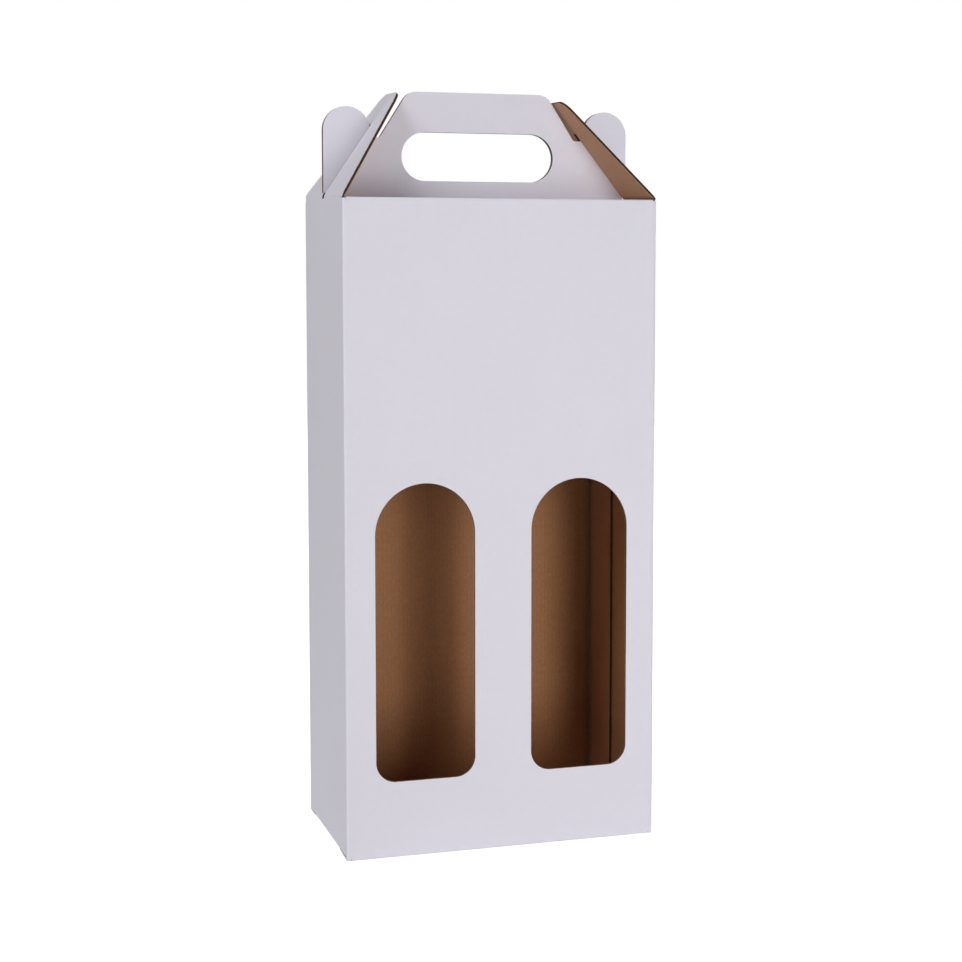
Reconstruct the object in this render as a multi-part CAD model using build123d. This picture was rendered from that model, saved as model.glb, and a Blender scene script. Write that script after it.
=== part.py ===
from build123d import *
import os
from math import cos, radians, sin, tan

# Two-bottle carrier box, folded from one blank of thin corrugated board.
# X is the width, Y the depth with the windows at -Y, Z is up from the floor.

# The box as it stands, outside sizes in millimetres
box_width = 180.0
box_depth = 100.0
box_height = 363.0
board = 1.5
fold_inside_radius = 0.4
layer_gap = 0.15
fold_allowance = 0.1
overcut = 1.0

# The two arched windows in the front panel
window_width = 56.8
window_centre = 44.75
window_sill = 42.6
window_top = 207.7
window_corner = 11.3

# The roof panels and the handle, heights counted from the top creases of the front and back panels
roof_setback = 2.0
handle_height = 61.0
handle_gap = 0.3
handle_corner = 9.0
handle_lean = 33.3
hand_hole_width = 90.0
hand_hole_low = 11.1
hand_hole_high = 38.5
ear_width = 26.8
ear_low = 3.9
ear_top = 52.0
slot_low = 35.0
slot_foot_width = 4.7
slot_corner = 2.0

# The two side top flaps, which lean in over the roof when they are closed
side_crease_rise = 2.2
left_flap_lean = 34.5
right_flap_lean = 38.5
flap_length = 69.5
flap_half_root = 49.4
flap_taper = 25.2
flap_tip_corner = 9.0
slit_length = 52.6
slit_width = 4.2
slit_foot = 2.4
crease_clearance = 0.2

# The four bottom flaps, which lock into each other
flap_setback = 2.6
front_flap_end = 4.0
tongue_half_width = 42.0
tongue_tip_half_width = 37.0
tongue_end = 21.0
tongue_ramp_start = -12.0
tongue_ramp_end = -3.0
relief = 2.0
tip_taper = 7.0
back_flap_setback = 1.0
back_flap_notch_half_width = 46.0
back_flap_notch_slant = 2.0
back_flap_notch_edge = 1.0
back_flap_lobe_end = -18.0
back_ramp = 20.0
side_flap_clearance = 0.9
side_flap_front_taper = 3.0
side_flap_back_end = 36.0
side_flap_back_inset = 2.0
side_flap_reach = 43.0
bottom_flap_corner = 4.0
bottom_cutter_height = 20.0

# The glue flap on the back panel, stuck and pressed a little into the inside of the right side panel
glue_flap_width = 36.0
glue_flap_taper = 14.0
glue_flap_end = 6.0
glue_press = 0.06
seam_setback = 0.2

half_width = box_width / 2
half_depth = box_depth / 2
fold_radius = fold_inside_radius + board / 2
fold_outside_radius = fold_inside_radius + board
wall_x = half_width - board / 2
wall_y = half_depth - board / 2
wall_low = fold_outside_radius + fold_allowance
wall_high = box_height - wall_low
panel_half_width = half_width - flap_setback
back_panel_half_width = panel_half_width - back_flap_setback
roof_half_width = half_width - roof_setback
handle_y = (handle_gap + board) / 2
side_crease_z = box_height + side_crease_rise
glue_flap_x = wall_x - board + glue_press

# Middle heights of the board in the stacked bottom flaps
front_flap_z = board / 2
side_flap_z = front_flap_z + board + layer_gap
back_flap_z = side_flap_z + board + layer_gap
tongue_z = back_flap_z + board + layer_gap


def folded_strip(plane, points, length):
    """A strip of board bent along the middle line through the points, as long as the panel is wide."""
    middle_line = FilletPolyline(*points, radius=fold_radius)
    return extrude(plane * trace(middle_line, line_width=board), amount=length)


def folded_across_x(points, half_length):
    """A strip whose folds run along X, from points given as (Y, Z)."""
    return folded_strip(Plane.YZ.offset(-half_length), points, 2 * half_length)


def folded_across_y(points, low_y, high_y):
    """A strip whose folds run along Y, from points given as (X, Z)."""
    plane = Plane(origin=(0, high_y, 0), x_dir=(1, 0, 0), z_dir=(0, -1, 0))
    return folded_strip(plane, points, high_y - low_y)


def plan_cutter(points, radius=0.0, rounded=()):
    """A tall block that keeps what lies inside a plan outline, with some of its corners rounded."""
    outline = Polygon(*points, align=None)
    if radius:
        corners = [v for v in outline.vertices() if (round(v.X, 3), round(v.Y, 3)) in rounded]
        outline = fillet(corners, radius)
    return extrude(Plane.XY.offset(-overcut) * outline, amount=bottom_cutter_height)


def both_sides(points):
    """The points of a symmetric outline, from its right half."""
    return list(points) + [(-x, y) for x, y in reversed(points)]


def make_walls():
    """Front, back and side panels, wrapped from the fold of the glue flap round to the right side."""
    height = wall_high - wall_low
    middle_line = FilletPolyline(
        (glue_flap_x, half_depth - wall_low - fold_allowance),
        (glue_flap_x, wall_y),
        (-wall_x, wall_y),
        (-wall_x, -wall_y),
        (wall_x, -wall_y),
        (wall_x, 0),
        radius=fold_radius,
    )
    walls = Pos(0, 0, wall_low) * extrude(trace(middle_line, line_width=board), amount=height)
    seam_y = half_depth - seam_setback
    right_end = Pos(wall_x, seam_y / 2, (wall_high + wall_low) / 2) * Box(board, seam_y, height)
    return walls + right_end


def make_side_wall_tops():
    """The side panels run a little higher than the front and back, up to the creases of their flaps."""
    top = side_crease_z - board / 2 - crease_clearance
    low = wall_high - fold_allowance
    length = 2 * (half_depth - wall_low)
    right = Pos(wall_x, 0, (top + low) / 2) * Box(board, length, top - low)
    slit_end = Pos(wall_x, 0, side_crease_z) * Box(2 * board, slit_width, 2 * slit_foot)
    right = right - slit_end
    return right + mirror(right, about=Plane.YZ)


def make_glue_flap():
    low = wall_low + glue_flap_end
    high = wall_high - glue_flap_end
    root = half_depth - wall_low - fold_allowance
    end = half_depth - board - glue_flap_width
    outline = Polygon(
        (root, low),
        (root, high),
        (end, high - glue_flap_taper),
        (end, low + glue_flap_taper),
        align=None,
    )
    return extrude(Plane.YZ.offset(glue_flap_x - board / 2) * outline, amount=board)


def make_roof(side):
    """One roof panel and the foot of its handle layer. The side is -1 in front and +1 at the back."""
    points = [
        (side * wall_y, wall_high),
        (side * wall_y, box_height - board / 2),
        (side * handle_y, box_height - board / 2),
        (side * handle_y, box_height + ear_low),
    ]
    return folded_across_x(points, roof_half_width)


def handle_outline():
    """The upper handle layer with its ears and slots. Heights are counted from the floor."""
    slot_inner = half_width - ear_width - slot_foot_width
    lean = tan(radians(handle_lean))
    top_corner = slot_inner - (handle_height - slot_low) * lean
    ear_middle = half_width - ear_width / 2
    ear_shoulder = ear_top - ear_width / 2
    right_half = [
        (half_width, ear_low),
        (half_width, ear_shoulder),
        (half_width - ear_width, ear_shoulder),
        (half_width - ear_width, slot_low),
        (slot_inner, slot_low),
        (top_corner, handle_height),
    ]
    outline = Polygon(*both_sides(right_half), align=None)
    for side in (-1, 1):
        outline = outline + Pos(side * ear_middle, ear_shoulder) * Circle(ear_width / 2)
    slots = [v for v in outline.vertices() if round(v.Y, 2) == slot_low]
    outline = fillet(slots, slot_corner)
    tops = [v for v in outline.vertices() if round(v.Y, 2) == handle_height]
    outline = fillet(tops, handle_corner)
    return Pos(0, box_height) * outline


def make_handle():
    """Both handle layers stand back to back, with the hand hole through both."""
    plane = Plane(origin=(0, handle_y + board / 2, 0), x_dir=(1, 0, 0), z_dir=(0, -1, 0))
    plate = extrude(plane * handle_outline(), amount=board)
    return plate + Pos(0, -2 * handle_y, 0) * plate


def hand_hole_cutter():
    height = hand_hole_high - hand_hole_low
    middle = box_height + (hand_hole_high + hand_hole_low) / 2
    outline = Pos(0, middle) * SlotOverall(hand_hole_width, height)
    return extrude(Plane.XZ * outline, amount=half_depth / 2, both=True)


def window_cutter(centre):
    """An arched window: a half round head over a sill with rounded corners."""
    shoulder = window_top - window_width / 2
    middle = Pos(centre, (shoulder + window_sill) / 2)
    outline = middle * Rectangle(window_width, shoulder - window_sill)
    sill = [v for v in outline.vertices() if round(v.Y, 2) == window_sill]
    outline = fillet(sill, window_corner) + Pos(centre, shoulder) * Circle(window_width / 2)
    plane = Plane(origin=(0, -half_depth + 2 * board, 0), x_dir=(1, 0, 0), z_dir=(0, -1, 0))
    return extrude(plane * outline, amount=3 * board)


def make_front_flap():
    """The last bottom flap to close: two wings, and a tongue that tucks in over the back flap."""
    wing_points = [(-wall_y, wall_low), (-wall_y, front_flap_z), (front_flap_end, front_flap_z)]
    wing_tip = panel_half_width - tip_taper
    inner_edge = tongue_half_width + relief
    tongue_root = tongue_ramp_start - relief
    outline = both_sides([
        (panel_half_width, -half_depth - overcut),
        (panel_half_width, -half_depth / 2),
        (wing_tip, front_flap_end),
        (inner_edge, front_flap_end),
        (inner_edge, tongue_root),
    ])
    corners = [(side * wing_tip, front_flap_end) for side in (1, -1)]
    corners += [(side * inner_edge, front_flap_end) for side in (1, -1)]
    wings = folded_across_x(wing_points, panel_half_width)
    wings = wings & plan_cutter(outline, bottom_flap_corner, corners)
    tongue_points = [
        (tongue_root - relief, front_flap_z),
        (tongue_ramp_start, front_flap_z),
        (tongue_ramp_end, tongue_z),
        (tongue_end, tongue_z),
    ]
    tongue_outline = both_sides([
        (tongue_half_width, tongue_root - relief - overcut),
        (tongue_half_width, 0),
        (tongue_tip_half_width, tongue_end),
    ])
    tips = [(side * tongue_tip_half_width, tongue_end) for side in (1, -1)]
    tongue = folded_across_x(tongue_points, tongue_half_width)
    return wings + (tongue & plan_cutter(tongue_outline, 2 * bottom_flap_corner, tips))


def make_back_flap():
    """The first bottom flap to close. It climbs from its crease to lie over the side flaps."""
    half_turn = radians(90 - back_ramp) / 2
    crease_z = fold_radius + board / 2 - fold_radius / tan(half_turn)
    ramp_run = (back_flap_z - crease_z) / tan(radians(back_ramp))
    points = [
        (wall_y, wall_low),
        (wall_y, crease_z),
        (wall_y - ramp_run, back_flap_z),
        (back_flap_lobe_end, back_flap_z),
    ]
    lobe_tip = panel_half_width - tip_taper
    notch_root = back_flap_notch_half_width - back_flap_notch_slant
    outline = both_sides([
        (back_panel_half_width, half_depth + overcut),
        (back_panel_half_width, half_depth / 2),
        (lobe_tip, back_flap_lobe_end),
        (back_flap_notch_half_width, back_flap_lobe_end),
        (notch_root, back_flap_notch_edge),
    ])
    corners = [(side * lobe_tip, back_flap_lobe_end) for side in (1, -1)]
    corners += [(side * back_flap_notch_half_width, back_flap_lobe_end) for side in (1, -1)]
    flap = folded_across_x(points, panel_half_width)
    return flap & plan_cutter(outline, bottom_flap_corner, corners)


def side_flap_front_end():
    """How far forward the side bottom flaps reach, a little inside the front panel."""
    return -half_depth + board + side_flap_clearance


def make_side_flap():
    """The left bottom flap. Its slanted back edge leaves room for the climb of the back flap."""
    tip = -half_width + side_flap_reach
    front = side_flap_front_end()
    front_corner = (tip, front + side_flap_front_taper)
    back_corner = (tip, side_flap_back_end - side_flap_reach)
    high = side_flap_z + fold_outside_radius
    points = [(-wall_x, high), (-wall_x, side_flap_z), (tip, side_flap_z)]
    outline = [
        (-half_width - overcut, front),
        front_corner,
        back_corner,
        (-half_width + side_flap_back_inset, side_flap_back_end),
        (-half_width - overcut, side_flap_back_end),
    ]
    flap = folded_across_y(points, front, side_flap_back_end)
    return flap & plan_cutter(outline, bottom_flap_corner, [front_corner, back_corner])


def side_fold_cutter():
    """Clears the foot of the left wall where the rounded fold of the side flap takes its place."""
    low_y = side_flap_front_end()
    high_z = side_flap_z + fold_outside_radius
    block = Box(2 * board, side_flap_back_end - low_y, high_z)
    return Pos(-wall_x, (side_flap_back_end + low_y) / 2, high_z / 2) * block


def make_carton():
    walls = make_walls()
    cut = side_fold_cutter()
    walls = walls - cut - mirror(cut, about=Plane.YZ)
    walls = walls - window_cutter(-window_centre) - window_cutter(window_centre)
    left_flap = make_side_flap()
    bottom = make_front_flap() + make_back_flap() + left_flap + mirror(left_flap, about=Plane.YZ)
    top = make_roof(-1) + make_roof(1) + make_handle() - hand_hole_cutter()
    return walls + make_side_wall_tops() + make_glue_flap() + bottom + top


def make_top_flap(lean_degrees):
    """A left top flap: a round crease, a slit for the ear and a tip that drops into the handle slot."""
    half_tip = flap_half_root - flap_length * tan(radians(flap_taper))
    outline = Polygon(*both_sides([(flap_half_root, 0), (half_tip, flap_length)]), align=None)
    tips = [v for v in outline.vertices() if v.Y > flap_length / 2]
    outline = fillet(tips, flap_tip_corner)
    flap = extrude(outline, amount=board / 2, both=True)
    flap = flap + Rot(0, 90, 0) * Cylinder(board / 2, 2 * flap_half_root)
    slit = Pos(0, (slit_length - board) / 2, 0) * Box(slit_width, slit_length + board, 2 * board)
    lean = radians(lean_degrees)
    place = Plane(
        origin=(-wall_x, 0, side_crease_z),
        x_dir=(0, 1, 0),
        z_dir=(cos(lean), 0, -sin(lean)),
    )
    return place * (flap - slit)


def write(name, shape):
    shape.label = name
    export_step(shape, os.path.join("parts", name + ".step"))


os.makedirs("parts", exist_ok=True)
write("carton", make_carton())
write("left_flap", make_top_flap(left_flap_lean))
write("right_flap", mirror(make_top_flap(right_flap_lean), about=Plane.YZ))
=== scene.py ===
from dataclasses import dataclass
from math import atan, cos, degrees, isclose, pi, radians, sin, sqrt, tan

import bpy
import numpy as np
from mathutils import Matrix, Vector
from mathutils.geometry import delaunay_2d_cdt


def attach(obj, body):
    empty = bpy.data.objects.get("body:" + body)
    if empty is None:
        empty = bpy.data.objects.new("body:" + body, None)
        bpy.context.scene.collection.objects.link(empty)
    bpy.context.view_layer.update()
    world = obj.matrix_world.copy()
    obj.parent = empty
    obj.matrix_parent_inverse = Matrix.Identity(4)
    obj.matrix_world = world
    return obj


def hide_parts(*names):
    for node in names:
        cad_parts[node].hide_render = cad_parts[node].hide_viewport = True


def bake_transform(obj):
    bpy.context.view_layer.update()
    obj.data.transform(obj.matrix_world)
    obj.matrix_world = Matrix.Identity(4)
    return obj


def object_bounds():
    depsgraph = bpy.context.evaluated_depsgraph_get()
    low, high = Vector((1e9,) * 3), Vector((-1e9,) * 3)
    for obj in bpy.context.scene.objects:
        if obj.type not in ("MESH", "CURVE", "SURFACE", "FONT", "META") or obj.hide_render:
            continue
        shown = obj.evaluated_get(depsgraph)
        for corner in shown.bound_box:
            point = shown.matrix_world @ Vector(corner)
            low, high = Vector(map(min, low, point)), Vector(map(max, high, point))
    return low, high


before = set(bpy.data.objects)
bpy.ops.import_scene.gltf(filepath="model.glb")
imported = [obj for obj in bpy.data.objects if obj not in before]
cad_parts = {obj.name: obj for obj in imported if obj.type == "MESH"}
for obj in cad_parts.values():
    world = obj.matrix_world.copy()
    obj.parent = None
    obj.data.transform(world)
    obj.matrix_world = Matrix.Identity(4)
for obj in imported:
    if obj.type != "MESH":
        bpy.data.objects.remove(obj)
cad_low, cad_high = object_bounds()

# The box is a flat blank of corrugated board that is cut, scored and folded here.
# A place on the blank is (s, v) in millimetres: s runs round the walls with 0 in the middle of the front,
# and v is the height on the walls and goes on past the creases, along the middle of the board.

# The standing box, in millimetres. FOLD is the radius of the folds on the middle of the board, and LAYER is
# how far the layers of the bottom lie above each other.
METRES = 0.001
WIDTH = (cad_high[0] - cad_low[0]) / METRES
DEPTH = (cad_high[1] - cad_low[1]) / METRES
TOP = 363.0
BOARD = 1.5
FOLD = 1.15
FOLD_ALLOWANCE = 0.1
LAYER = 1.65

# How the folds look: how square the outside is, with 2 for round, how much the board is pressed,
# and how far the walls' corner folds go on past the walls
CORNER_POWER = 4
FOLD_PRESS = 0.5
FLAP_PRESS = 0.35
CORNER_FOLD_REACH = 1.0

# The board's own layers, and the order of its materials
LINER = 0.24
FLUTE_PITCH = 2.5
FLUTE_STEPS = 4
FLUTE_SHEET = 0.2
WHITE_SLOT, KRAFT_SLOT, EDGE_SLOT = range(3)

# Windows in the front panel
WINDOW_WIDTH = 56.8
WINDOW_CENTRE = 44.75
WINDOW_SILL = 42.6
WINDOW_TOP = 207.7
WINDOW_CORNER = 11.3

# Ends of the walls' corners, between the folds at the top and at the bottom
CORNER_SLIT = 0.1
POST_HIGH = 362.4
FOOT_SLIT = 0.1
FOOT_LOW = 0.4
FOOT_SIDE = 1.9

# Roof panels and handle, with heights above the top creases
ROOF_SETBACK = 2.0
HANDLE_HEIGHT = 61.0
HANDLE_GAP = 0.3
HANDLE_CORNER = 9.0
HANDLE_LEAN = 32.7
HOLE_WIDTH = 90.0
HOLE_LOW = 11.1
HOLE_HIGH = 38.5
EAR_WIDTH = 26.8
EAR_LOW = 3.9
EAR_TOP = 52.0
SLOT_LOW = 35.0
SLOT_FOOT = 5.5
SLOT_CORNER = 2.0

# Side top flaps
CREASE_RISE = 2.2
FLAP_LEAN = {"left": 34.5, "right": 38.5}
FLAP_LENGTH = 69.5
FLAP_ROOT = 49.4
FLAP_TAPER = 25.2
FLAP_CORNER = 12.0
SLIT_LENGTH = 47.9
SLIT_WIDTH = 4.2
SLIT_FOOT = 1.6
CREASE_SLANT = 0.03
ROOT_STEP = 0.9
ROOT_END = 0.4

# Bottom flaps
SETBACK = 2.6
BACK_SETBACK = 1.0
TIP_TAPER = 7.0
WING_END = 4.0
TONGUE_HALF = 42.0
TONGUE_TIP_HALF = 37.0
TONGUE_END = 21.0
RAMP_START = -12.0
RAMP_END = -3.0
RELIEF = 1.0
RELIEF_CORNER = 0.4
NOTCH_HALF = 46.0
NOTCH_SLANT = 2.0
NOTCH_EDGE = 1.0
LOBE_END = -18.0
BACK_RAMP = 20.0
SIDE_FLAP_CLEARANCE = 0.9
SIDE_FLAP_TAPER = 3.0
SIDE_FLAP_BACK = 36.0
SIDE_FLAP_INSET = 2.0
SIDE_ROOT_FRONT = -30.0
SIDE_SHOULDER = 3.4
SIDE_FLAP_REACH = 43.0
BOTTOM_CORNER = 4.0
LAYERS_BELOW_TONGUE = 3
LAYERS_BELOW_BACK = 2

# Glue flap
GLUE_WIDTH = 36.0
GLUE_TAPER = 14.0
GLUE_END = 6.0
GLUE_GAP = 0.03
SEAM_SETBACK = 0.2

# How finely outlines are drawn: pieces of an arc, and the distance at which points become one
ARC_STEPS = 3.2
ARC_LEAST = 3
SAME_POINT = 1e-4
SAME_CUT = 1e-5

# Where the sheets are cut into strips, so that they can bend: the strips' widths, and how far the cuts run on
FOLD_STRIP = 0.3
FLUTE_FOLD_STRIP = 0.6
WALL_STRIP = 14.0
WALL_STRIP_HEIGHT = 20.0
WALL_MARGIN = 4.0
FLAP_STRIP = 12.0
FLAP_MARGIN = 8.0
CREASE_REACH = 2.4
CUT_LOW = -90.0
CUT_OVERRUN = 5.0
FOLD_OVERRUN = 2.0
FLAP_OVERRUN = 1.0

# A path's first and last run go on beyond their ends, so a first run may have any length
FREE_RUN = 1.0

HALF_X = WIDTH / 2 - BOARD / 2
HALF_Y = DEPTH / 2 - BOARD / 2
FLAT_X = HALF_X - FOLD
FLAT_Y = HALF_Y - FOLD
QUARTER = FOLD * pi / 2
WALL_LOW = FOLD + BOARD / 2 + FOLD_ALLOWANCE
WALL_HIGH = TOP - WALL_LOW
WALL_HALF = DEPTH / 2 - WALL_LOW
PANEL_HALF = WIDTH / 2 - SETBACK
BACK_PANEL_HALF = PANEL_HALF - BACK_SETBACK
SIDE_FLAP_FRONT = -DEPTH / 2 + BOARD + SIDE_FLAP_CLEARANCE
ROOF_HALF = WIDTH / 2 - ROOF_SETBACK
GLUE_X = HALF_X - BOARD - GLUE_GAP
HANDLE_Y = (HANDLE_GAP + BOARD) / 2
ROOF_RUN = HALF_Y - HANDLE_Y - 2 * FOLD
WALL_END = TOP - BOARD / 2 - FOLD
CREASE_Z = TOP + CREASE_RISE

# Places on the blank, going round from the glue flap to the seam of the right panel
S_LEFT = -(FLAT_X + QUARTER + FLAT_Y)
S_BACK = S_LEFT - FLAT_Y - QUARTER - FLAT_X
S_BACK_END = S_BACK - (GLUE_X - FOLD)
S_GLUE = S_BACK_END - QUARTER
S_GLUE_END = S_GLUE - (FLAT_Y - (DEPTH / 2 - BOARD - GLUE_WIDTH))
S_RIGHT = FLAT_X + QUARTER + FLAT_Y
S_SEAM = S_RIGHT + DEPTH / 2 - SEAM_SETBACK


@dataclass
class Run:
    """One straight run or turn of a path. bend is 0 on a straight run, and above 0 on a turn to the left."""

    start: float
    long: float
    point: np.ndarray
    heading: float
    bend: float

    @property
    def end(self):
        return self.start + self.long

    def at(self, along):
        """The point and heading after some length of this run."""
        turned = self.heading + self.bend * along
        if self.bend == 0:
            move = np.array([np.cos(self.heading) * along, np.sin(self.heading) * along])
        else:
            forward = (np.sin(turned) - np.sin(self.heading)) / self.bend
            sideways = (np.cos(self.heading) - np.cos(turned)) / self.bend
            move = np.array([forward, sideways])
        return move.T + self.point, turned


class Path:
    """A bent middle line made of straight runs and turns, followed by its length."""

    def __init__(self, heading, parts, anchor, anchor_point, anchor_length):
        """parts are ("run", length) or ("turn", degrees). Part number anchor starts at the point given."""
        self.runs = []
        self.anchor = anchor
        point, length = np.zeros(2), 0.0
        for kind, size in parts:
            bend = 0.0 if kind == "run" else (1 if size > 0 else -1) / FOLD
            long = size if kind == "run" else abs(radians(size)) * FOLD
            run = Run(length, long, point, heading, bend)
            self.runs.append(run)
            point, heading = run.at(long)
            length += long
        shift = np.array(anchor_point) - self.runs[anchor].point
        later = anchor_length - self.runs[anchor].start
        for run in self.runs:
            run.start += later
            run.point = run.point + shift

    def __call__(self, length, offset):
        """Points at these lengths, set off to the right of the line, which is the outside of the board."""
        result = np.zeros((len(length), 2))
        for run in self.runs:
            here = np.ones(len(length), bool)
            if run is not self.runs[0]:
                here &= length >= run.start
            if run is not self.runs[-1]:
                here &= length < run.end
            middle, heading = run.at(length[here] - run.start)
            outward = np.stack([np.sin(heading), -np.cos(heading)], 1)
            result[here] = middle + outward * offset[here][:, None]
        return result

    def turns(self):
        """Start and end lengths of every turn."""
        return [(run.start, run.end) for run in self.runs if run.bend != 0]

    def corner(self, length):
        """How far round an outward quarter turn each length lies, and 0 elsewhere."""
        result = np.zeros(len(length))
        for run in self.runs:
            if isclose(run.bend * run.long, pi / 2):
                here = (length > run.start) & (length < run.end)
                result[here] = (length[here] - run.start) * run.bend
        return result


def plan_path():
    """Round the walls from the free edge of the glue flap, seen from above."""
    parts = [
        ("run", S_GLUE - S_GLUE_END),
        ("turn", 90),
        ("run", S_BACK + FLAT_X - S_BACK_END),
        ("turn", 90),
        ("run", 2 * FLAT_Y),
        ("turn", 90),
        ("run", 2 * FLAT_X),
        ("turn", 90),
        ("run", S_SEAM - S_RIGHT + FLAT_Y),
    ]
    return Path(pi / 2, parts, anchor=6, anchor_point=(-FLAT_X, -HALF_Y), anchor_length=-FLAT_X)


def roof_parts():
    """What follows the front or back wall: the roof panel and the handle layer."""
    return [("turn", 90), ("run", ROOF_RUN), ("turn", -90), ("run", HANDLE_HEIGHT)]


def upright_path(before, wall_start, after):
    """A path up a wall, whose lower end is at height and length wall_start."""
    parts = before + [("run", WALL_END - wall_start)] + after
    heading = sum(-radians(size) for kind, size in before if kind == "turn") + pi / 2
    return Path(heading, parts, len(before), (0, wall_start), wall_start)


def front_path(tongue):
    """Up the front: the last bottom flap, the wall, the roof and the handle. The tongue climbs a ramp."""
    low = BOARD / 2 + FOLD
    if not tongue:
        return upright_path([("run", FREE_RUN), ("turn", 90)], low, roof_parts())
    rise = LAYERS_BELOW_TONGUE * LAYER
    slope = atan(rise / (RAMP_END - RAMP_START))
    trim = FOLD * tan(slope / 2)
    ramp = rise / sin(slope) - 2 * trim
    angle = degrees(slope)
    flat = RAMP_START + HALF_Y - FOLD - trim
    climb = [("run", FREE_RUN), ("turn", -angle), ("run", ramp), ("turn", angle)]
    return upright_path(climb + [("run", flat), ("turn", 90)], low, roof_parts())


def back_ramp_sizes():
    """The height at which the back wall starts, the length of the ramp, and how far in its top lies."""
    slope = radians(BACK_RAMP)
    trim = FOLD / tan(radians(90 - BACK_RAMP) / 2)
    wall_start = FOLD + BOARD / 2
    corner = wall_start - trim
    rise = BOARD / 2 + LAYERS_BELOW_BACK * LAYER - corner
    length = rise / sin(slope) - (trim + FOLD * tan(slope / 2))
    return wall_start, length, rise / tan(slope)


def back_path():
    """Up the back: the first bottom flap with its ramp, the wall, the roof and the handle."""
    wall_start, ramp_length, _ = back_ramp_sizes()
    before = [("run", FREE_RUN), ("turn", -BACK_RAMP), ("run", ramp_length), ("turn", 90 + BACK_RAMP)]
    return upright_path(before, wall_start, roof_parts())


def side_path():
    """Up a side: its bottom flap, one layer above the floor, and the wall."""
    return upright_path([("run", FREE_RUN), ("turn", 90)], BOARD / 2 + LAYER + FOLD, [])


def flap_path(lean):
    """Up the top of a side wall and along its closed flap, which leans this many degrees inward."""
    trim = FOLD * tan(radians(lean) / 2)
    parts = [("run", CREASE_Z - trim - WALL_HIGH), ("turn", lean), ("run", FLAP_LENGTH)]
    return Path(pi / 2, parts, 0, (0, WALL_HIGH), WALL_HIGH)


def handle_v(height):
    """Length on the blank of a height on the handle, given above the top creases."""
    handle_start = WALL_END + 2 * QUARTER + ROOF_RUN
    return handle_start + TOP + height - (TOP - BOARD / 2 + FOLD)


def flap_v(path, reach):
    """Length on the blank of a point of a bottom flap that lies reach inside its wall's outer face."""
    wall_fold = path.runs[path.anchor - 1]
    return wall_fold.start - (reach - BOARD / 2 - FOLD)


def rounded(corners):
    """An outline from (x, y, radius) corners, with an arc where the radius is above 0."""
    points = []
    count = len(corners)
    for i, (x, y, radius) in enumerate(corners):
        here = np.array((x, y), float)
        if radius == 0:
            points.append(tuple(here))
            continue
        back = np.array(corners[i - 1][:2], float) - here
        ahead = np.array(corners[(i + 1) % count][:2], float) - here
        back /= np.linalg.norm(back)
        ahead /= np.linalg.norm(ahead)
        half = np.arccos(np.clip(back @ ahead, -1, 1)) / 2
        middle = here + (back + ahead) / np.linalg.norm(back + ahead) * radius / sin(half)
        first = here + back * radius / tan(half) - middle
        last = here + ahead * radius / tan(half) - middle
        angle = np.arctan2(first[0] * last[1] - first[1] * last[0], first @ last)
        steps = max(ARC_LEAST, int(ARC_STEPS * sqrt(radius) * abs(angle)))
        for k in range(steps + 1):
            a = angle * k / steps
            turned = (first[0] * cos(a) - first[1] * sin(a), first[0] * sin(a) + first[1] * cos(a))
            points.append((middle[0] + turned[0], middle[1] + turned[1]))
    following = points[1:] + points[:1]
    return [p for p, q in zip(points, following) if abs(p[0] - q[0]) + abs(p[1] - q[1]) > SAME_POINT]


def mirrored(half, centre):
    """Corners of an outline that is the same on both sides of s = centre, from its low-s half."""
    first = [(centre - x, y, radius) for x, y, radius in half]
    last = [(centre + x, y, radius) for x, y, radius in reversed(half)]
    return first + last


def top_corners(centre):
    """Roof panel and handle layer, from the low-s side to the high-s side."""
    foot = WIDTH / 2 - EAR_WIDTH - SLOT_FOOT
    shoulder = foot - (HANDLE_HEIGHT - SLOT_LOW) * tan(radians(HANDLE_LEAN))
    half = [
        (ROOF_HALF, WALL_HIGH, 0),
        (ROOF_HALF, handle_v(EAR_LOW), 0),
        (WIDTH / 2, handle_v(EAR_LOW), 0),
        (WIDTH / 2, handle_v(EAR_TOP), EAR_WIDTH / 2),
        (WIDTH / 2 - EAR_WIDTH, handle_v(EAR_TOP), EAR_WIDTH / 2),
        (WIDTH / 2 - EAR_WIDTH, handle_v(SLOT_LOW), SLOT_CORNER),
        (foot, handle_v(SLOT_LOW), SLOT_CORNER),
        (shoulder, handle_v(HANDLE_HEIGHT), HANDLE_CORNER),
    ]
    return mirrored(half, centre)


def front_bottom_corners(wing, tongue):
    """The last bottom flap, from its high-s side to its low-s side."""
    end = flap_v(wing, DEPTH / 2 + WING_END)
    taper_start = flap_v(wing, DEPTH / 4)
    root = flap_v(wing, DEPTH / 2 + RAMP_START - RELIEF)
    tip = tongue.runs[0].end - (TONGUE_END - RAMP_END)
    inner = TONGUE_HALF + RELIEF
    half = [
        (PANEL_HALF, WALL_LOW, 0),
        (PANEL_HALF, taper_start, 0),
        (PANEL_HALF - TIP_TAPER, end, BOTTOM_CORNER),
        (inner, end, BOTTOM_CORNER),
        (inner, root, RELIEF_CORNER),
        (TONGUE_HALF, root, RELIEF_CORNER),
        (TONGUE_TIP_HALF, tip, 2 * BOTTOM_CORNER),
    ]
    return mirrored(half, 0)[::-1]


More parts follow.
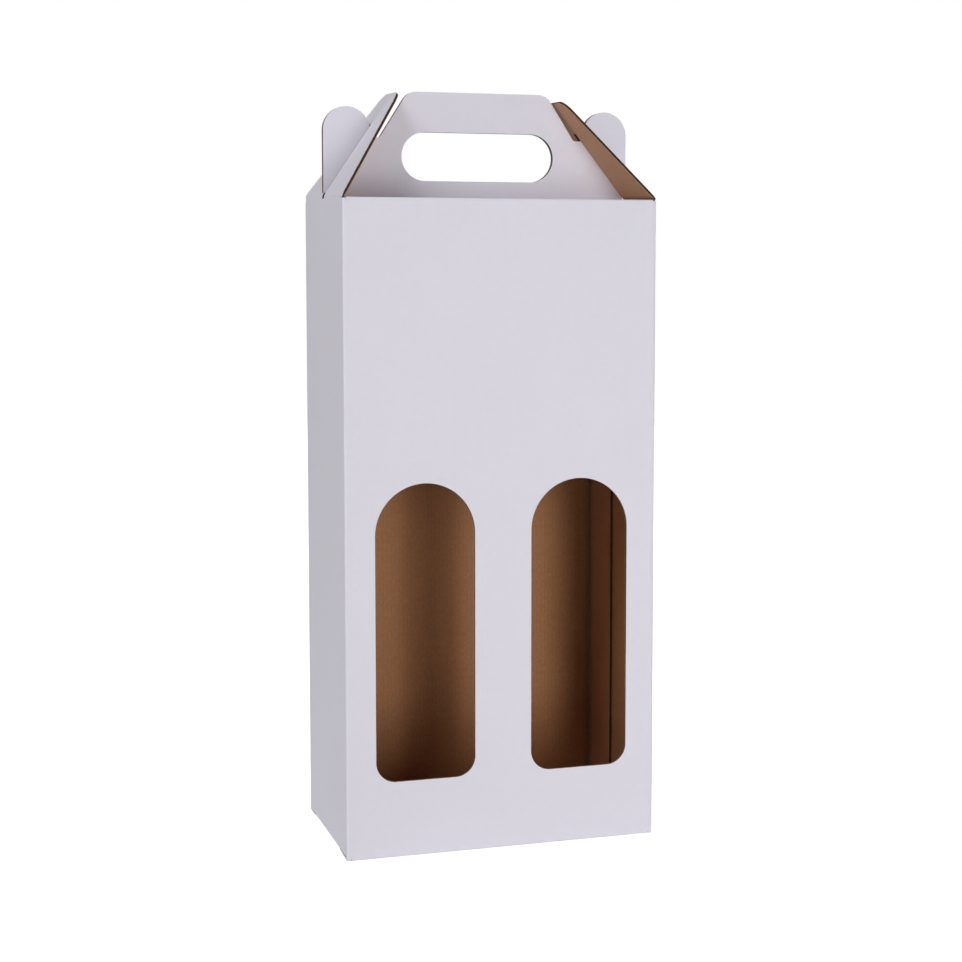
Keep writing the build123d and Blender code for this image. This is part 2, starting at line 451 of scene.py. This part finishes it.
def back_bottom_corners(path):
    """The first bottom flap, from its high-s side to its low-s side."""
    flat_end = path.runs[0].end
    ramp_top = HALF_Y - back_ramp_sizes()[2]
    lobe = flat_end - (ramp_top - LOBE_END)
    notch = flat_end - (ramp_top - NOTCH_EDGE)
    half = [
        (BACK_PANEL_HALF, WALL_LOW, 0),
        (BACK_PANEL_HALF, flat_end, 0),
        (PANEL_HALF - TIP_TAPER, lobe, BOTTOM_CORNER),
        (NOTCH_HALF, lobe, BOTTOM_CORNER),
        (NOTCH_HALF - NOTCH_SLANT, notch, 0),
    ]
    return mirrored(half, S_BACK)[::-1]


def side_bottom_corners(path, centre, to_back):
    """A side bottom flap, from its high-s side. to_back is 1 where s runs to the back, else -1."""
    low = FOLD + BOARD + LAYER
    front, back = SIDE_FLAP_FRONT, SIDE_FLAP_BACK
    tip = flap_v(path, SIDE_FLAP_REACH)
    corners = [
        (SIDE_ROOT_FRONT, low, 0),
        (SIDE_ROOT_FRONT, flap_v(path, SIDE_FLAP_INSET), 0),
        (front, flap_v(path, SIDE_SHOULDER), 0),
        (front + SIDE_FLAP_TAPER, tip, BOTTOM_CORNER),
        (back - SIDE_FLAP_REACH, tip, BOTTOM_CORNER),
        (back, flap_v(path, SIDE_FLAP_INSET), 0),
        (back, low, 0),
    ]
    placed = [(centre + to_back * y, v, radius) for y, v, radius in corners]
    return placed if placed[0][0] > placed[-1][0] else placed[::-1]


def corner_post(low_s, high_s):
    """The top of a corner of the walls, which stands a little higher than the start of the roof's folds."""
    return [(low_s, WALL_HIGH, 0), (low_s, POST_HIGH, 0), (high_s, POST_HIGH, 0), (high_s, WALL_HIGH, 0)]


def back_foot(high_s, low_s):
    """The foot of a back corner of the walls, which comes down between two folds as far as the side flaps."""
    return [(high_s, WALL_LOW, 0), (high_s, LAYER, 0), (low_s, LAYER, 0), (low_s, WALL_LOW, 0)]


def front_foot(side_s, corner_s, front_s):
    """The foot of a front corner, which comes almost to the floor and slants up to the side flap's fold."""
    return [
        (side_s, WALL_LOW, 0),
        (side_s, FOOT_SIDE, 0),
        (corner_s, FOOT_LOW, 0),
        (front_s, FOOT_LOW, 0),
        (front_s, WALL_LOW, 0),
    ]


def from_wall(corners):
    """A side bottom flap's outline that starts and ends at the lower edge of its wall."""
    first_s, last_s = corners[0][0], corners[-1][0]
    return [(first_s, WALL_LOW, 0)] + corners + [(last_s, WALL_LOW, 0)]


def carton_outline(paths):
    """The blank without its side top flaps, from the glue flap's free edge along the top and back below."""
    glue_low, glue_high = WALL_LOW + GLUE_END, WALL_HIGH - GLUE_END
    outline = [(S_GLUE_END, glue_low + GLUE_TAPER, 0), (S_GLUE_END, glue_high - GLUE_TAPER, 0)]
    outline += [(S_GLUE, glue_high, 0)]
    outline += corner_post(S_GLUE, S_BACK_END - CORNER_SLIT)
    # The roof panel at the back is narrower on the glue flap's side
    back_top = top_corners(S_BACK)
    back_top[0] = (S_BACK_END, WALL_HIGH, 0)
    back_top[1] = (S_BACK_END, back_top[1][1], 0)
    outline += back_top
    outline += corner_post(S_BACK + ROOF_HALF + CORNER_SLIT, S_LEFT - WALL_HALF)
    outline += corner_post(S_LEFT + WALL_HALF, -ROOF_HALF - CORNER_SLIT)
    outline += top_corners(0)
    outline += corner_post(ROOF_HALF + CORNER_SLIT, S_RIGHT - WALL_HALF)
    outline += corner_post(S_RIGHT + WALL_HALF, S_SEAM)
    outline += back_foot(S_SEAM, S_RIGHT + SIDE_FLAP_BACK + FOOT_SLIT)
    outline += from_wall(side_bottom_corners(paths["right"], S_RIGHT, 1))
    foot_front = PANEL_HALF + FOOT_SLIT
    outline += front_foot(S_RIGHT + SIDE_ROOT_FRONT - FOOT_SLIT, S_RIGHT - FLAT_Y, foot_front)
    outline += front_bottom_corners(paths["front"], paths["tongue"])
    outline += front_foot(S_LEFT - SIDE_ROOT_FRONT + FOOT_SLIT, S_LEFT + FLAT_Y, -foot_front)[::-1]
    outline += from_wall(side_bottom_corners(paths["left"], S_LEFT, -1))
    outline += back_foot(S_LEFT - SIDE_FLAP_BACK - FOOT_SLIT, S_BACK + BACK_PANEL_HALF + FOOT_SLIT)
    outline += back_bottom_corners(paths["back"])
    outline += back_foot(S_BACK - BACK_PANEL_HALF - FOOT_SLIT, S_GLUE)
    outline += [(S_GLUE, glue_low, 0)]
    return rounded(outline)


def carton_holes():
    """The two windows, and the hand hole in either handle layer."""
    window = [
        (WINDOW_WIDTH / 2, WINDOW_SILL, WINDOW_CORNER),
        (WINDOW_WIDTH / 2, WINDOW_TOP, WINDOW_WIDTH / 2),
    ]
    hole_radius = (HOLE_HIGH - HOLE_LOW) / 2
    hand_hole = [
        (HOLE_WIDTH / 2, handle_v(HOLE_LOW), hole_radius),
        (HOLE_WIDTH / 2, handle_v(HOLE_HIGH), hole_radius),
    ]
    places = [(window, -WINDOW_CENTRE), (window, WINDOW_CENTRE), (hand_hole, 0), (hand_hole, S_BACK)]
    return [rounded(mirrored(half, centre)) for half, centre in places]


def flap_loops():
    """The outline of one side top flap with the strip of wall under its crease, about s = 0, and its slit."""
    slope = tan(radians(FLAP_TAPER))
    wall = WALL_HALF - FOLD_ALLOWANCE
    half = [
        (wall, WALL_HIGH, 0),
        (wall, CREASE_Z - ROOT_STEP, 0),
        (FLAP_ROOT, CREASE_Z - ROOT_END, 0),
        (FLAP_ROOT - FLAP_LENGTH * slope, CREASE_Z + FLAP_LENGTH, FLAP_CORNER),
    ]
    slit = [
        (SLIT_WIDTH / 2, CREASE_Z - SLIT_FOOT, 0),
        (SLIT_WIDTH / 2, CREASE_Z + SLIT_LENGTH, 0),
    ]
    return [rounded(mirrored(half, 0)), rounded(mirrored(slit, 0))]


def inside(points, loops):
    """Which points lie inside the outline and outside the holes, by counting crossings."""
    odd = np.zeros(len(points), bool)
    for loop in loops:
        ring = np.array(loop)
        for (x0, y0), (x1, y1) in zip(ring, np.roll(ring, -1, 0)):
            if y0 == y1:
                continue
            spans = (points[:, 1] > y0) != (points[:, 1] > y1)
            cross = x0 + (points[:, 1] - y0) * (x1 - x0) / (y1 - y0)
            odd ^= spans & (points[:, 0] < cross)
    return odd


def cut_sheet(loops, lines):
    """Triangles of a flat sheet that keeps its outline, its holes and the given lines as edges."""
    verts, edges = [], []
    for loop in loops:
        first = len(verts)
        verts += loop
        edges += [(first + i, first + (i + 1) % len(loop)) for i in range(len(loop))]
    for start, end in lines:
        edges.append((len(verts), len(verts) + 1))
        verts += [start, end]
    result = delaunay_2d_cdt([Vector(p) for p in verts], edges, [], 0, SAME_CUT, False)
    points = np.array([tuple(p) for p in result[0]])
    tris = np.array([tuple(face) for face in result[2]])
    tris = tris[inside(points[tris].mean(1), loops)]
    a, b, c = points[tris[:, 0]], points[tris[:, 1]], points[tris[:, 2]]
    turn = (b[:, 0] - a[:, 0]) * (c[:, 1] - a[:, 1]) - (b[:, 1] - a[:, 1]) * (c[:, 0] - a[:, 0])
    tris[turn < 0] = tris[turn < 0][:, ::-1]
    used, tris = np.unique(tris, return_inverse=True)
    return points[used], tris.reshape(-1, 3)


def rim_of(tris):
    """Edges on the rim of a triangle sheet, in the direction of its triangles."""
    pairs = np.concatenate([tris[:, [0, 1]], tris[:, [1, 2]], tris[:, [2, 0]]])
    known = {(int(a), int(b)) for a, b in pairs}
    return np.array([(a, b) for a, b in known if (b, a) not in known])


def shell(sheet, high, low, place, slots):
    """A closed layer of the board between two offsets. slots are for its outside, inside and rim."""
    flat, tris = sheet
    count = len(flat)
    top, flat_top = place(flat, high(flat))
    under, flat_under = place(flat, low(flat))
    rim = rim_of(tris)
    faces = [tuple(t) for t in tris.tolist()]
    faces += [(c + count, b + count, a + count) for a, b, c in tris.tolist()]
    faces += [(b, a, a + count, b + count) for a, b in rim.tolist()]
    face_slots = [slots[0]] * len(tris) + [slots[1]] * len(tris) + [slots[2]] * len(rim)
    return np.concatenate([top, under]), np.concatenate([flat_top, flat_under]), faces, face_slots


def board_mesh(name, loops, liner_lines, flute_lines, place, materials):
    """Two liners with the fluted sheet between them, as one mesh. place folds the flat sheets."""
    half = BOARD / 2

    def level(value):
        return lambda flat: np.full(len(flat), value)

    def wave(offset):
        swing = half - LINER - FLUTE_SHEET / 2
        return lambda flat: swing * np.cos(2 * pi * flat[:, 0] / FLUTE_PITCH) + offset

    liner = cut_sheet(loops, liner_lines)
    flutes = cut_sheet(loops, flute_lines)
    # The liners' faces inside the board and the fluted sheet take the cut edges' painted shade
    layers = [
        shell(liner, level(half), level(half - LINER), place, (WHITE_SLOT, EDGE_SLOT, EDGE_SLOT)),
        shell(liner, level(LINER - half), level(-half), place, (EDGE_SLOT, KRAFT_SLOT, KRAFT_SLOT)),
        shell(flutes, wave(FLUTE_SHEET / 2), wave(-FLUTE_SHEET / 2), place, (EDGE_SLOT,) * 3),
    ]
    verts, flats, faces, slots = [], [], [], []
    for points, flat, layer_faces, layer_slots in layers:
        first = sum(len(v) for v in verts)
        verts.append(points)
        flats.append(flat)
        faces += [tuple(i + first for i in face) for face in layer_faces]
        slots += layer_slots
    mesh = bpy.data.meshes.new(name)
    mesh.from_pydata((np.concatenate(verts) * METRES).tolist(), [], faces)
    mesh.polygons.foreach_set("material_index", slots)
    flat_attribute = mesh.attributes.new("flat", "FLOAT_VECTOR", "POINT")
    flat_attribute.data.foreach_set("vector", (np.concatenate(flats) * METRES).astype(np.float32).ravel())
    for material in materials:
        mesh.materials.append(material)
    mesh.update()
    piece = bpy.data.objects.new(name, mesh)
    bpy.context.scene.collection.objects.link(piece)
    return piece


def even_steps(low, high, step):
    """Places from low to high, evenly spaced and about a step apart."""
    count = max(1, round((high - low) / step))
    return [low + (high - low) * i / count for i in range(count + 1)]


def flute_places(low, high):
    """Places across the flutes at which the wave has its corners."""
    step = FLUTE_PITCH / FLUTE_STEPS
    first, last = int(low // step), int(high // step) + 1
    return [step * i for i in range(first, last + 1)]


def carton_lines(paths, flutes):
    """Lines that the sheet needs as edges: fold bands, and for the fluted sheet every corner of the wave."""
    upright = flute_places(S_GLUE_END, S_SEAM) if flutes else even_steps(S_GLUE_END, S_SEAM, WALL_STRIP)
    for start, end in paths["plan"].turns():
        upright += even_steps(start, end, FOLD_STRIP)
    cut_high = handle_v(HANDLE_HEIGHT) + CUT_OVERRUN
    lines = [((s, CUT_LOW), (s, cut_high)) for s in sorted(upright)]
    spans = {
        "front": (-FLAT_X - FOLD_OVERRUN, FLAT_X + FOLD_OVERRUN),
        "back": (S_BACK_END, S_BACK + FLAT_X + FOLD_OVERRUN),
        "left": (S_LEFT - FLAT_Y, S_LEFT + FLAT_Y),
        "right": (S_RIGHT - FLAT_Y, S_SEAM),
        "tongue": (-TONGUE_HALF - RELIEF, TONGUE_HALF + RELIEF),
    }
    strip = FLUTE_FOLD_STRIP if flutes else FOLD_STRIP
    for name, (start_s, end_s) in spans.items():
        for start, end in paths[name].turns():
            lines += [((start_s, v), (end_s, v)) for v in even_steps(start, end, strip)]
    if not flutes:
        heights = even_steps(WALL_LOW + WALL_MARGIN, WALL_HIGH - WALL_MARGIN, WALL_STRIP_HEIGHT)
        lines += [((S_GLUE_END, v), (S_SEAM, v)) for v in heights]
    return lines


def panel_masks(flat):
    """Which points of the blank follow which upright path. The tongue is in the front's bottom flap."""
    s, v = flat[:, 0], flat[:, 1]
    slit = CORNER_SLIT / 2
    beside_roofs = (abs(s) > ROOF_HALF + slit) & (abs(s - S_BACK) > ROOF_HALF + slit)
    post = (v < POST_HIGH + slit) & (beside_roofs | (s < S_BACK_END - slit))
    above = (v > WALL_HIGH) & ~post
    foot_slit = FOOT_SLIT / 2
    on_flap = (abs(s) < PANEL_HALF + foot_slit) | (abs(s - S_BACK) < BACK_PANEL_HALF + foot_slit)
    for y in (s - S_RIGHT, S_LEFT - s):
        foot_end = np.interp(y, (-FLAT_Y, SIDE_ROOT_FRONT), (FOOT_LOW, FOOT_SIDE))
        past_foot = (y > SIDE_ROOT_FRONT - foot_slit) | (v < foot_end - foot_slit)
        on_flap |= (y > SIDE_FLAP_FRONT - foot_slit) & (y < SIDE_FLAP_BACK + foot_slit) & past_foot
    wall = (v > WALL_LOW) | on_flap
    front = (wall & (abs(s) <= FLAT_X)) | (above & (s > S_LEFT))
    back = (wall & (s >= S_BACK_END - slit) & (s <= S_BACK + FLAT_X)) | (above & (s <= S_LEFT))
    tongue = front & (abs(s) < TONGUE_HALF + RELIEF / 2) & (v < WALL_LOW)
    return {
        "front": front & ~tongue,
        "tongue": tongue,
        "back": back,
        "left": wall & ~above & (abs(s - S_LEFT) <= FLAT_Y),
        "right": wall & ~above & (s >= S_RIGHT - FLAT_Y),
    }


def crease_strength(flat, paths, masks):
    """1 on a fold line, falling towards 0 two boards' thicknesses away."""
    s, v = flat[:, 0], flat[:, 1]
    nearest = np.full(len(flat), np.inf)
    on_wall = (v > WALL_LOW - CORNER_FOLD_REACH) & (v < WALL_HIGH + CORNER_FOLD_REACH)
    for start, end in paths["plan"].turns():
        nearest = np.where(on_wall, np.minimum(nearest, abs(s - (start + end) / 2)), nearest)
    for name, mask in masks.items():
        for start, end in paths[name].turns():
            nearest = np.where(mask, np.minimum(nearest, abs(v - (start + end) / 2)), nearest)
    return np.exp(-((nearest / BOARD) ** 2))


# For each panel: its middle on the blank, the way that s runs, the way out, and its distance from the origin
PANELS = {
    "front": (0, (1, 0), (0, -1), HALF_Y),
    "tongue": (0, (1, 0), (0, -1), HALF_Y),
    "back": (S_BACK, (-1, 0), (0, 1), HALF_Y),
    "left": (S_LEFT, (0, -1), (-1, 0), HALF_X),
    "right": (S_RIGHT, (0, 1), (1, 0), HALF_X),
}


def on_panel(panel, path, flat, offset):
    """Points of one panel in space."""
    centre, along, out, distance = PANELS[panel]
    bent = path(flat[:, 1], offset)
    reach = distance + bent[:, 0]
    places = np.zeros((len(flat), 3))
    places[:, 0] = along[0] * (flat[:, 0] - centre) + out[0] * reach
    places[:, 1] = along[1] * (flat[:, 0] - centre) + out[1] * reach
    places[:, 2] = bent[:, 1]
    return places


def pressed(offset, strength, corner):
    """The scored board is pressed thin at its folds on the inside, and has fairly sharp corners outside."""
    sharp = (np.cos(corner) ** CORNER_POWER + np.sin(corner) ** CORNER_POWER) ** (-1 / CORNER_POWER)
    return np.where(offset < 0, offset * (1 - FOLD_PRESS * strength), (FOLD + offset) * sharp - FOLD)


def fold_carton(paths):
    """A function that puts points of the blank, at an offset from the board's middle, into space."""
    def place(flat, offset):
        masks = panel_masks(flat)
        strength = crease_strength(flat, paths, masks)
        corner = paths["plan"].corner(flat[:, 0])
        for name, mask in masks.items():
            corner[mask] = paths[name].corner(flat[mask, 1])
        offset = pressed(offset, strength, corner)
        plan = paths["plan"](flat[:, 0], offset)
        places = np.column_stack([plan, flat[:, 1]])
        for name, mask in masks.items():
            places[mask] = on_panel(name, paths[name], flat[mask], offset[mask])
        return places, np.column_stack([flat, strength])
    return place


def make_carton(materials):
    """The box without its side top flaps, as one piece."""
    paths = {
        "plan": plan_path(),
        "front": front_path(False),
        "tongue": front_path(True),
        "back": back_path(),
        "left": side_path(),
        "right": side_path(),
    }
    loops = [carton_outline(paths)] + carton_holes()
    liner_lines = carton_lines(paths, flutes=False)
    flute_lines = carton_lines(paths, flutes=True)
    piece = board_mesh("carton_board", loops, liner_lines, flute_lines, fold_carton(paths), materials)
    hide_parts("carton")
    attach(piece, "carton")


def make_flap(side, materials):
    """One side top flap, bent at its crease. side is left or right."""
    path = flap_path(FLAP_LEAN[side])
    wide = FLAP_ROOT + FLAP_OVERRUN
    low, high = WALL_HIGH - FLAP_OVERRUN, CREASE_Z + FLAP_LENGTH + FLAP_OVERRUN

    def across(heights):
        return [((-wide, v), (wide, v)) for v in heights]

    def upright(places):
        return [((s, low), (s, high)) for s in places]

    crease_lines = across(even_steps(CREASE_Z - CREASE_REACH, CREASE_Z + CREASE_REACH, FOLD_STRIP))
    flap_heights = even_steps(CREASE_Z + FLAP_MARGIN, CREASE_Z + FLAP_LENGTH, FLAP_STRIP)
    liner_lines = crease_lines + across(flap_heights) + upright(even_steps(-wide, wide, FLAP_STRIP))
    flute_lines = crease_lines + upright(flute_places(-wide, wide))

    def place(flat, offset):
        strength = np.exp(-(((flat[:, 1] - CREASE_Z) / BOARD) ** 2))
        offset = offset * (1 - FLAP_PRESS * strength)
        shifted = flat + np.array([PANELS[side][0], 0])
        places = on_panel(side, path, shifted, offset)
        # The crease and the flap rise a little towards the back
        places[:, 2] += CREASE_SLANT * places[:, 1] * np.clip((flat[:, 1] - POST_HIGH) / CREASE_RISE, 0, 1)
        return places, np.column_stack([flat, strength])

    node = f"{side}_flap"
    piece = board_mesh(f"{node}_board", flap_loops(), liner_lines, flute_lines, place, materials)
    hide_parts(node)
    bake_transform(piece)


def srgb(*values):
    """A colour written as 0 to 255, as the shader wants it."""
    return tuple(((value / 255 + 0.055) / 1.055) ** 2.4 for value in values) + (1.0,)


def grey(value):
    """A grey as the shader wants it."""
    return (value, value, value, 1.0)


WHITE = srgb(227, 224, 234)
KRAFT_LIGHT = srgb(194, 139, 93)
KRAFT_DARK = srgb(175, 121, 79)
# Cut-edge browns: the board's own brown, painted darker as shade for the hollows between the flutes
EDGE_LIGHT = srgb(96, 72, 58)
EDGE_DARK = srgb(58, 44, 38)
DUST = (0.2, 0.13, 0.08, 1.0)


def new_material(name, roughness):
    """A paper material, its shader, and a socket that gives the place on the flat blank in metres.

    The socket's third value is how strongly the board is folded there, which the kraft uses for painted shade
    in its folds.
    """
    material = bpy.data.materials.new(name)
    material.use_nodes = True
    nodes = material.node_tree.nodes
    shader = nodes["Principled BSDF"]
    shader.inputs["Roughness"].default_value = roughness
    shader.inputs["Specular IOR Level"].default_value = 0.3
    flat = nodes.new("ShaderNodeAttribute")
    flat.attribute_name = "flat"
    return material, shader, flat.outputs["Vector"]


def noise(tree, flat, scale, detail, stretch=(1, 1, 1)):
    """Noise over the blank, with scale in bumps per metre."""
    mapping = tree.nodes.new("ShaderNodeMapping")
    mapping.inputs["Scale"].default_value = stretch
    texture = tree.nodes.new("ShaderNodeTexNoise")
    texture.inputs["Scale"].default_value = scale
    texture.inputs["Detail"].default_value = detail
    tree.links.new(flat, mapping.inputs["Vector"])
    tree.links.new(mapping.outputs["Vector"], texture.inputs["Vector"])
    return texture.outputs["Fac"]


def ramp(tree, value, stops):
    """A colour ramp over a value, from (place, colour) stops."""
    node = tree.nodes.new("ShaderNodeValToRGB")
    elements = node.color_ramp.elements
    for i, (place, colour) in enumerate(stops):
        element = elements[i] if i < 2 else elements.new(place)
        element.position = place
        element.color = colour
    tree.links.new(value, node.inputs["Fac"])
    return node.outputs["Color"]


def mix(tree, kind, factor, first, second):
    """A colour mix of two sockets or colours."""
    node = tree.nodes.new("ShaderNodeMix")
    node.data_type = "RGBA"
    node.blend_type = kind
    inputs = [socket for socket in node.inputs if socket.enabled]
    for socket, value in zip(inputs, (factor, first, second)):
        if isinstance(value, (int, float, tuple)):
            socket.default_value = value
        else:
            tree.links.new(value, socket)
    return [socket for socket in node.outputs if socket.enabled][0]


def maths(tree, kind, *values):
    """A maths node over sockets or numbers."""
    node = tree.nodes.new("ShaderNodeMath")
    node.operation = kind
    for socket, value in zip(node.inputs, values):
        if isinstance(value, (int, float)):
            socket.default_value = value
        else:
            tree.links.new(value, socket)
    return node.outputs["Value"]


def part_of(tree, vector, axis):
    """One value of a vector socket. axis is X, Y or Z."""
    split = tree.nodes.new("ShaderNodeSeparateXYZ")
    tree.links.new(vector, split.inputs["Vector"])
    return split.outputs[axis]


def flute_wave(tree, flat):
    """A smooth wave over the blank, 1 on the flute's outer crests and 0 between them."""
    turn = maths(tree, "MULTIPLY", part_of(tree, flat, "X"), 2 * pi / (FLUTE_PITCH * METRES))
    wave = maths(tree, "COSINE", turn)
    return maths(tree, "MULTIPLY_ADD", wave, 0.5, 0.5)


def bump(tree, shader, height, distance, strength):
    """Relief from a height socket. distance is what a height of 1 stands for, in metres."""
    node = tree.nodes.new("ShaderNodeBump")
    node.inputs["Distance"].default_value = distance
    node.inputs["Strength"].default_value = strength
    tree.links.new(height, node.inputs["Height"])
    tree.links.new(node.outputs["Normal"], shader.inputs["Normal"])


def white_liner():
    """Smooth white paper: faint flute lines, a soft mottle and a few fine specks."""
    material, shader, flat = new_material("white_liner", 0.62)
    tree = material.node_tree
    mottle = ramp(tree, noise(tree, flat, 260, 3), [(0.3, grey(0.985)), (0.7, grey(1.0))])
    cloud = ramp(tree, noise(tree, flat, 22, 2), [(0.3, grey(0.985)), (0.7, grey(1.0))])
    specks = ramp(tree, noise(tree, flat, 900, 1), [(0.2, grey(0.9)), (0.27, grey(1.0))])
    colour = WHITE
    for layer in (mottle, cloud, specks):
        colour = mix(tree, "MULTIPLY", 1.0, colour, layer)
    tree.links.new(colour, shader.inputs["Base Color"])
    grain = noise(tree, flat, 1400, 3)
    height = maths(tree, "MULTIPLY_ADD", grain, 0.35, flute_wave(tree, flat))
    bump(tree, shader, height, 0.04 * METRES, 0.6)
    return material


def kraft_liner():
    """Brown paper with painted shade in its folds: upright fibres, flecks, dust, and flute lines that show
    through.
    """
    material, shader, flat = new_material("kraft_liner", 0.65)
    tree = material.node_tree
    fibres = noise(tree, flat, 900, 4, (1, 0.45, 1))
    colour = ramp(tree, fibres, [(0.25, KRAFT_DARK), (0.75, KRAFT_LIGHT)])
    mottle = ramp(tree, noise(tree, flat, 130, 4), [(0.3, grey(0.95)), (0.7, grey(1.0))])
    flecks = ramp(tree, noise(tree, flat, 1500, 2, (1, 0.6, 1)), [(0.24, grey(0.7)), (0.32, grey(1.0))])
    lines = ramp(tree, flute_wave(tree, flat), [(0.0, grey(0.95)), (0.45, grey(1.0))])
    # Painted shade: the kraft is darkened where the board is folded, down to 0.55 on a fold line
    fold = maths(tree, "DIVIDE", part_of(tree, flat, "Z"), METRES)
    folds = ramp(tree, fold, [(0.0, grey(1.0)), (1.0, grey(0.55))])
    for layer in (mottle, flecks, lines, folds):
        colour = mix(tree, "MULTIPLY", 1.0, colour, layer)
    dust = ramp(tree, noise(tree, flat, 420, 1), [(0.74, grey(0.0)), (0.79, DUST)])
    colour = mix(tree, "SCREEN", 1.0, colour, dust)
    tree.links.new(colour, shader.inputs["Base Color"])
    shader.inputs["Sheen Weight"].default_value = 0.15
    bump(tree, shader, fibres, 0.08 * METRES, 0.5)
    return material


def shaded_cut_edge():
    """The board's cut edges and the fluted sheet: rough brown, painted dark as shade within the flutes."""
    material, shader, flat = new_material("shaded_cut_edge", 0.9)
    tree = material.node_tree
    fibres = noise(tree, flat, 2600, 2)
    colour = ramp(tree, fibres, [(0.3, EDGE_DARK), (0.7, EDGE_LIGHT)])
    tree.links.new(colour, shader.inputs["Base Color"])
    bump(tree, shader, fibres, 0.05 * METRES, 0.5)
    return material


def make_camera():
    """The camera stands where the photograph was taken from, and looks a little down."""
    pixels = 962
    focal = 1833
    axis_row = 424
    place = Vector((-303, -1012, 324)) * METRES
    turn, tilt, roll = radians(-16.78), radians(-4.81), radians(0.05)
    data = bpy.data.cameras.new("camera")
    data.sensor_width = 36
    data.lens = focal * data.sensor_width / pixels
    data.shift_y = (axis_row - pixels / 2) / pixels
    data.clip_start = 0.01
    camera = bpy.data.objects.new("camera", data)
    facing = Matrix.Rotation(turn, 4, "Z") @ Matrix.Rotation(tilt, 4, "X") @ Matrix.Rotation(roll, 4, "Y")
    camera.matrix_world = Matrix.Translation(place) @ facing @ Matrix.Rotation(pi / 2, 4, "X")
    bpy.context.scene.collection.objects.link(camera)
    bpy.context.scene.camera = camera


# How much light the white surroundings give, how brightly the floor shows, and its size and depth in metres
WORLD_LIGHT = 0.06
FLOOR_GLOW = 0.88
FLOOR_HALF = 4.0
FLOOR_BELOW = 0.0002


def area_light(name, place, target, width, height, power):
    """A soft oblong light that faces a point."""
    data = bpy.data.lights.new(name, "AREA")
    data.shape = "RECTANGLE"
    data.size = width
    data.size_y = height
    data.energy = power
    light = bpy.data.objects.new(name, data)
    light.location = place
    light.visible_camera = False
    aim = Vector(target) - Vector(place)
    light.rotation_euler = aim.to_track_quat("-Z", "Y").to_euler()
    bpy.context.scene.collection.objects.link(light)


def directly_seen(tree):
    """1 for the camera's rays and for what is seen through or in glossy things, and 0 for other light."""
    rays = tree.nodes.new("ShaderNodeLightPath")
    seen = maths(tree, "MAXIMUM", rays.outputs["Is Camera Ray"], rays.outputs["Is Glossy Ray"])
    return maths(tree, "MAXIMUM", seen, rays.outputs["Is Transmission Ray"])


def make_lights():
    """The lamps, and a world that looks white but gives little light."""
    middle = (0, 0, 0.2)
    area_light("key", (0.19, -2.2, 0.08), middle, 0.5, 1.2, 13)
    area_light("near_key", (0.2, -0.75, 0.1), (0.2, 0, 0.1), 0.25, 0.8, 1.8)
    area_light("fill", (-0.6, -2.3, -0.5), middle, 2.6, 0.6, 2)
    area_light("top", (-0.9, -0.6, 1.5), (0, 0, 0.4), 0.8, 0.8, 12)
    area_light("side", (-2.1, -0.3, -0.6), middle, 1.0, 0.8, 9.3)
    area_light("back", (1.6, 1.8, 0.9), middle, 1.6, 1.6, 25)
    world = bpy.data.worlds.new("world")
    bpy.context.scene.world = world
    world.use_nodes = True
    tree = world.node_tree
    background = tree.nodes["Background"]
    background.inputs["Color"].default_value = grey(1.0)
    strength = maths(tree, "MAXIMUM", directly_seen(tree), WORLD_LIGHT)
    tree.links.new(strength, background.inputs["Strength"])


def make_floor():
    """A white floor that shows almost as the backdrop does, and keeps the box's shadow."""
    mesh = bpy.data.meshes.new("floor")
    side = FLOOR_HALF
    corners = [(-side, -side, 0), (side, -side, 0), (side, side, 0), (-side, side, 0)]
    mesh.from_pydata(corners, [], [(0, 1, 2, 3)])
    floor = bpy.data.objects.new("floor", mesh)
    floor.location.z = -FLOOR_BELOW
    floor.visible_shadow = False
    bpy.context.scene.collection.objects.link(floor)
    material = bpy.data.materials.new("floor")
    material.use_nodes = True
    tree = material.node_tree
    shader = tree.nodes["Principled BSDF"]
    shader.inputs["Base Color"].default_value = grey(0.8)
    shader.inputs["Roughness"].default_value = 0.9
    shader.inputs["Emission Color"].default_value = grey(1.0)
    strength = maths(tree, "MULTIPLY", directly_seen(tree), FLOOR_GLOW)
    tree.links.new(strength, shader.inputs["Emission Strength"])
    mesh.materials.append(material)


make_camera()
make_lights()
make_floor()
board_materials = [white_liner(), kraft_liner(), shaded_cut_edge()]
make_carton(board_materials)
make_flap("left", board_materials)
make_flap("right", board_materials)
bpy.context.scene.view_settings.view_transform = "Standard"
